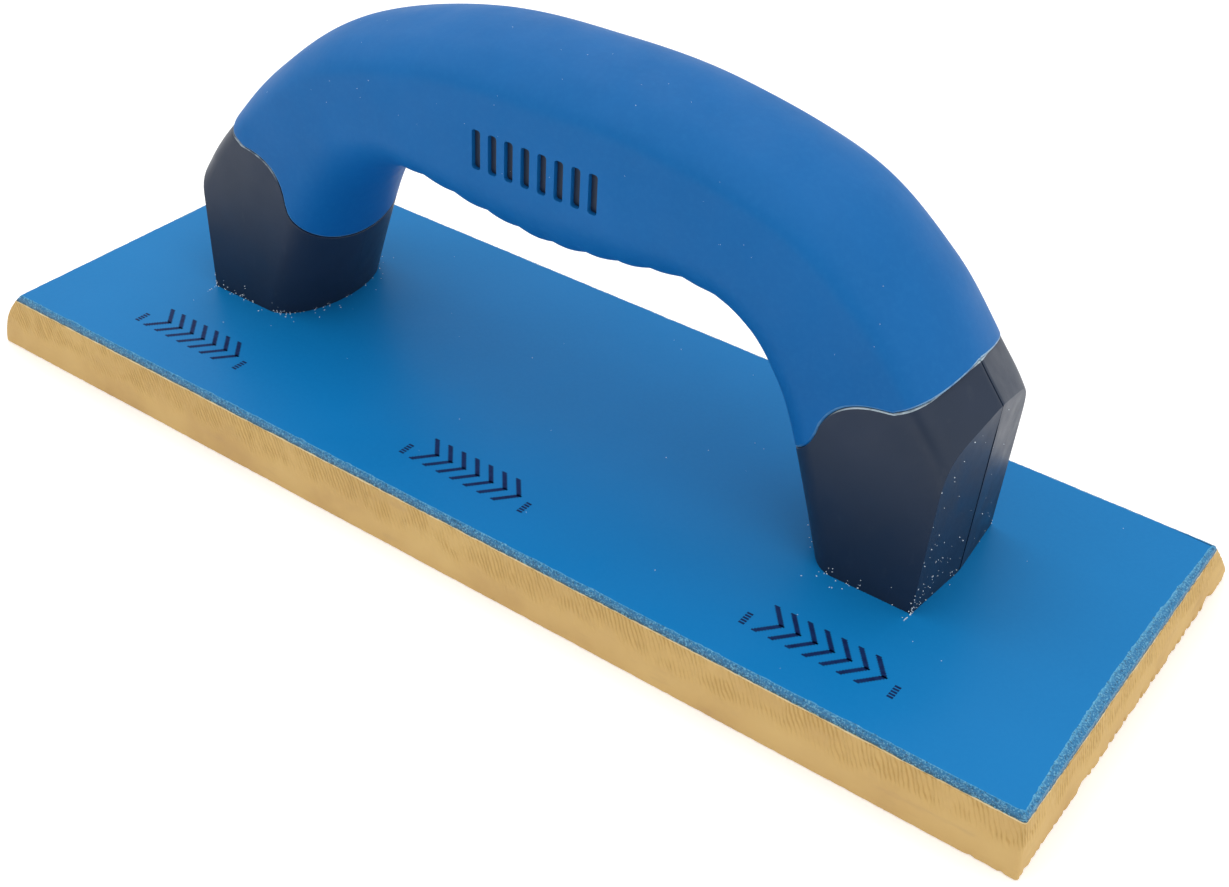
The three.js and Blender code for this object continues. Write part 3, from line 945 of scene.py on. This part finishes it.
def saw_ridges(made):
    """Slanted, slightly wavy ridges."""
    slanted = stretched_place(made, (1, 1, 0.35))
    bands = {"Vector": slanted, "Scale": SAW_WAVE_SCALE, "Distortion": 5, "Detail": 2}
    bands["Detail Scale"] = 0.6
    return add(made, "ShaderNodeTexWave", bands, output=1, bands_direction="DIAGONAL")


def rubber_material(name, chatter_strength):
    """Natural foam rubber, yellower and crossed by slanted ridges high up on its sides, with painted shade
    darkening the grooves between the ridges.
    """
    made = new_material(name, specular=0.25)
    shown = sawn_share(made)
    marked = add(made, "ShaderNodeMath", {0: saw_ridges(made), 1: shown}, operation="MULTIPLY")
    yellowness = ramp(made, shown, [(0.0, 0.0), (1.0, 0.5)])
    yellow = mix(made, yellowness, rubber_tone(made), (0.65, 0.43, 0.15))
    # Painted shade in the saw grooves, where the bump sinks.
    painted_groove_shade = ramp(made, marked, [(0.4, 0.0), (0.95, 0.8)])
    attach(made, "Base Color", mix(made, painted_groove_shade, yellow, (0.47, 0.28, 0.085)))
    attach(made, "Roughness", ramp(made, speckle(made, 3), [(0.3, 0.75), (0.7, 0.92)]))
    fine = bump(made, speckle(made, 0.5, detail=3), 0.08, 0.6)
    attach(made, "Normal", bump(made, marked, -0.15, chatter_strength, under=fine))
    return made


def grip_material():
    made = new_material("grip_blue", specular=0.16)
    cloud = speckle(made, 22, detail=3)
    base = ramp(made, cloud, [(0.3, (0.003, 0.114, 0.35)), (0.7, (0.004, 0.127, 0.385))])
    flecks = ramp(made, speckle(made, 1.1, detail=5), [(0.45, 0.0), (0.8, 0.35)])
    attach(made, "Base Color", mix(made, flecks, base, (0.010, 0.15, 0.41)))
    attach(made, "Roughness", ramp(made, speckle(made, 9, detail=5), [(0.3, 0.46), (0.7, 0.58)]))
    attach(made, "Normal", bump(made, speckle(made, 0.28, detail=3), 0.03, 0.5))
    return made


def lip_material(name, dark, light, highlight_heights, highlight_colour):
    """A moulded edge, with a pale painted highlight in patches between two heights."""
    made = new_material(name, specular=0.4)
    # Tone in patches between dark and light; on the grip's lip the light end is paler than the grip, a
    # painted highlight.
    tone = ramp(made, speckle(made, 6, detail=4), [(0.4, dark), (0.7, light)])
    # Pale painted highlight in patches between two heights.
    high = share_between(made, object_height(made), *highlight_heights)
    patches = ramp(made, speckle(made, 4, detail=3), [(0.4, 0.2), (0.55, 1.0)])
    painted_highlight = add(made, "ShaderNodeMath", {0: high, 1: patches}, operation="MULTIPLY")
    attach(made, "Base Color", mix(made, painted_highlight, tone, highlight_colour))
    attach(made, "Roughness", ramp(made, speckle(made, 0.8), [(0.3, 0.3), (0.7, 0.5)]))
    return made


NAVY_DARK = (0.011, 0.022, 0.046)
NAVY_LIGHT = (0.014, 0.026, 0.054)


def navy_material():
    made = new_material("core_navy", specular=0.33)
    cloud = ramp(made, speckle(made, 14, detail=4), [(0.3, NAVY_DARK), (0.7, NAVY_LIGHT)])
    scuffs = ramp(made, speckle(made, 2.2, detail=6, stretch=(1, 1, 0.4)), [(0.62, 0.0), (0.85, 0.3)])
    attach(made, "Base Color", mix(made, scuffs, cloud, (0.05, 0.06, 0.08)))
    attach(made, "Roughness", ramp(made, speckle(made, 6, detail=5), [(0.3, 0.36), (0.7, 0.5)]))
    attach(made, "Normal", bump(made, speckle(made, 0.22, detail=3), 0.02, 0.5))
    return made


def glue_material():
    made = new_material("adhesive_cream", roughness=0.5)
    tone = ramp(made, speckle(made, 2.5, detail=4), [(0.3, (0.62, 0.47, 0.22)), (0.7, (0.78, 0.64, 0.38))])
    attach(made, "Base Color", tone)
    attach(made, "Normal", bump(made, speckle(made, 0.5), 0.05, 0.6))
    return made


def steel_material():
    made = new_material("screw_zinc", metallic=1.0)
    tone = ramp(made, speckle(made, 1.5, detail=4), [(0.3, (0.52, 0.53, 0.54)), (0.7, (0.70, 0.71, 0.72))])
    attach(made, "Base Color", tone)
    attach(made, "Roughness", ramp(made, speckle(made, 0.8), [(0.3, 0.25), (0.7, 0.4)]))
    return made


def ink_material():
    made = new_material("print_ink", roughness=0.5, specular=0.1)
    tones = [(0.3, (0.003, 0.010, 0.06)), (0.75, (0.006, 0.03, 0.12))]
    tone = ramp(made, speckle(made, 0.9, detail=4), tones)
    attach(made, "Base Color", tone)
    return made


def crumb_material():
    made = new_material("grout_dust", roughness=0.9)
    tone = ramp(made, speckle(made, 0.5), [(0.3, (0.62, 0.70, 0.76)), (0.7, (0.88, 0.92, 0.95))])
    attach(made, "Base Color", tone)
    return made


def floor_material():
    made = new_material("studio_floor", roughness=0.9, specular=0.1)
    tone = ramp(made, speckle(made, 120, detail=1), [(0.3, 0.93), (0.7, 0.95)])
    attach(made, "Base Color", tone)
    shader = made.node_tree.nodes["Principled BSDF"]
    shader.inputs["Emission Color"].default_value = (1, 1, 1, 1)
    shader.inputs["Emission Strength"].default_value = FLOOR_GLOW
    return made


# ---- Studio --------------------------------------------------------------------------------------

CAMERA_PLACE = (0.16952, -0.23761, 0.21527)
CAMERA_YAW = 33.96
CAMERA_DOWN = 36.18
CAMERA_ROLL = 3.20
CAMERA_LENS = 49.94
SENSOR_WIDTH = 36
FLOOR_GLOW = 0.2
FLOOR_REACH = 3
WORLD_BRIGHT = 0.86
WORLD_DARK = 0.36
DARK_SIDE = (0.1, -0.85, 0.52)     # the studio is darker behind the camera


def studio():
    """World, floor, two lights and the camera."""
    scene = bpy.context.scene
    scene.view_settings.view_transform = "Standard"

    world = bpy.data.worlds.new("studio_world")
    world.use_nodes = True
    background = world.node_tree.nodes["Background"]
    background.inputs["Color"].default_value = (1, 1, 1, 1)
    direction = add(world, "ShaderNodeTexCoord", {}, output=0)
    sides = {0: direction, 1: DARK_SIDE}
    toward_dark = add(world, "ShaderNodeVectorMath", sides, output=1, operation="DOT_PRODUCT")
    level = {"Value": toward_dark, "From Min": 0.2, "From Max": 0.9}
    level.update({"To Min": WORLD_BRIGHT, "To Max": WORLD_DARK})
    strength = add(world, "ShaderNodeMapRange", level)
    world.node_tree.links.new(strength, background.inputs["Strength"])
    scene.world = world

    body = bmesh.new()
    bmesh.ops.create_grid(body, x_segments=1, y_segments=1, size=FLOOR_REACH)
    mesh = bpy.data.meshes.new("studio_floor")
    body.to_mesh(mesh)
    body.free()
    mesh.materials.append(floor_material())
    floor = bpy.data.objects.new("studio_floor", mesh)
    scene.collection.objects.link(floor)

    soft_light("overhead", (-0.2, -0.12, 1.0), size=2.2, power=11.8)
    soft_light("right_fill", (1.0, -0.35, 0.6), size=1.0, power=2)

    camera = bpy.data.objects.new("camera", bpy.data.cameras.new("camera"))
    camera.data.sensor_width = SENSOR_WIDTH
    camera.data.lens = CAMERA_LENS
    camera.data.clip_start = 0.01
    camera.data.clip_end = 20
    turn = Matrix.Rotation(math.radians(CAMERA_YAW), 4, "Z")
    tilt = Matrix.Rotation(math.radians(90 - CAMERA_DOWN), 4, "X")
    roll = Matrix.Rotation(math.radians(CAMERA_ROLL), 4, "Z")
    camera.matrix_world = Matrix.Translation(CAMERA_PLACE) @ turn @ tilt @ roll
    scene.collection.objects.link(camera)
    scene.camera = camera


def soft_light(name, place, size, power):
    """A round area light that looks at the float."""
    data = bpy.data.lights.new(name, "AREA")
    data.shape = "DISK"
    data.size = size
    data.energy = power
    lamp = bpy.data.objects.new(name, data)
    lamp.location = place
    lamp.rotation_euler = (-Vector(place)).to_track_quat("-Z", "Y").to_euler()
    bpy.context.scene.collection.objects.link(lamp)


# ---- The whole float -----------------------------------------------------------------------------

flat_layers(
    rubber=[rubber_material("rubber_face", 0.2), rubber_material("rubber_cut_side", 1.2)],
    glue=[glue_material(), glue_material()],
    plate=[plate_material(), plate_edge_material()],
)
core = [
    navy_material(),
    # The core's lip: navy tones and a pale painted highlight.
    lip_material("core_lip", NAVY_DARK, NAVY_LIGHT, CORE_LIP_HIGHLIGHT, (0.40, 0.49, 0.54)),
]
core_shell("core_half_front", -1, "core_shell_front", core)
core_shell("core_half_rear", 1, "core_shell_rear", core)
grip = [
    grip_material(),
    # The grip's lip: its lighter tone and its pale colour are painted highlight.
    lip_material("grip_lip", (0.006, 0.12, 0.36), (0.10, 0.26, 0.44), GRIP_LIP_HIGHLIGHT, (0.26, 0.43, 0.57)),
]
soft_grip(grip)
printed_marks([ink_material()])
dust([crumb_material()])
steel = steel_material()
for name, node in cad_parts.items():
    if name.startswith("handle_screw"):
        node.data.materials.clear()
        node.data.materials.append(steel)
studio()
